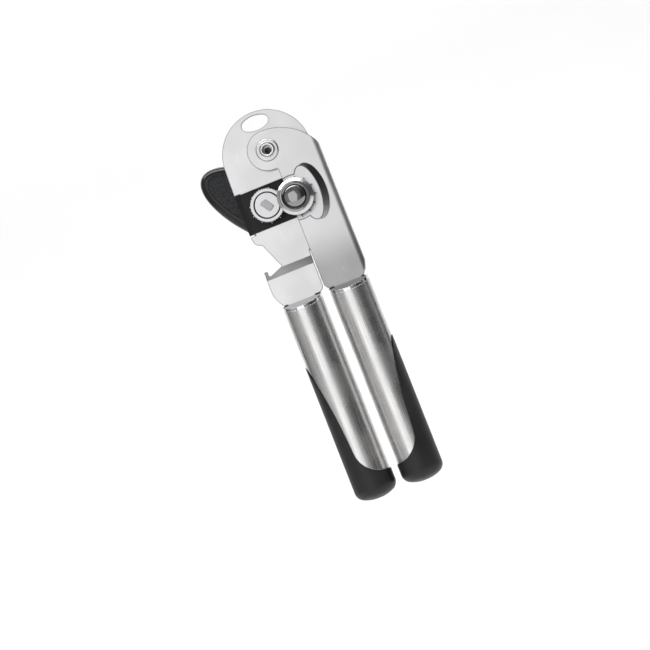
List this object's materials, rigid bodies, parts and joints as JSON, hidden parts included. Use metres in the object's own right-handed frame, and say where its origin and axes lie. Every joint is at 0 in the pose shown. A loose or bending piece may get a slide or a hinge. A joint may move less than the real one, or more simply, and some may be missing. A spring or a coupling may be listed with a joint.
{
  "type": "manual can opener",
  "caption": "Hand-held can opener: two stamped steel arms on a rivet, a turning knob driving a serrated feed wheel, and a cutting wheel geared to it.",
  "frame": {"origin": "centre of the pivot rivet, at the front face of the rear arm's head", "axes": "+Z along the arms towards the rounded head, -Y towards the cutting side, +X towards the front arm's flange"},
  "size_m": [0.0624, 0.0331, 0.1949],
  "materials": {
    "arm_steel": "satin stainless sheet",
    "rivet_steel": "turned and plated steel",
    "washer_nylon": "natural nylon",
    "bay_black": "fine textured moulding",
    "gear_steel": "stamped and deburred",
    "wheel_steel": "nickel plated, fine ground",
    "stud_chrome": "mirror polished",
    "knob_black": "smooth moulding",
    "knob_panel": "fine grained soft panel",
    "sleeve_steel": "lengthwise brushed",
    "ferrule_steel": "polished",
    "core_plastic": "glass filled nylon",
    "grip_rubber": "soft matt elastomer"
  },
  "bodies": {
    "rear_arm": {"rear_arm_plate": "arm_steel", "pivot_rivet": "rivet_steel", "pivot_washer": "washer_nylon", "drive_bushing": "bay_black", "rear_handle_sleeve": "sleeve_steel", "rear_handle_ferrule": "ferrule_steel", "rear_handle_core": "core_plastic", "rear_handle_pin": "rivet_steel", "rear_handle_grip": "grip_rubber"},
    "front_arm": {"front_arm_plate": "arm_steel", "cutter_stud": "stud_chrome", "cutter_spring_washer": "rivet_steel", "front_handle_sleeve": "sleeve_steel", "front_handle_ferrule": "ferrule_steel", "front_handle_core": "core_plastic", "front_handle_pin": "rivet_steel", "front_handle_grip": "grip_rubber"},
    "drive": {"drive_shaft": "rivet_steel", "drive_gear": "gear_steel", "feed_wheel": "wheel_steel", "thrust_washer": "rivet_steel", "knob_body": "knob_black", "knob_front_pad": "knob_panel", "knob_back_pad": "knob_panel"},
    "cutter": {"cutter_gear": "gear_steel", "cutter_hub": "rivet_steel", "cutting_wheel": "wheel_steel"}
  },
  "joints": [
    {"name": "handle_pivot", "type": "hinge", "parent": "rear_arm", "child": "front_arm", "pos_m": [0, 0, 0], "axis": [0, -1, 0], "range_deg": [0, 35]},
    {"name": "drive_spin", "type": "hinge", "parent": "rear_arm", "child": "drive", "pos_m": [-0.0095, 0, -0.0252], "axis": [0, -1, 0], "continuous": true},
    {"name": "cutter_spin", "type": "hinge", "parent": "front_arm", "child": "cutter", "pos_m": [0.00465, 0, -0.0264], "axis": [0, -1, 0], "continuous": true}
  ],
  "couplings": [
    {"joint": "cutter_spin", "follows": "drive_spin", "ratio": -0.84615}
  ]
}
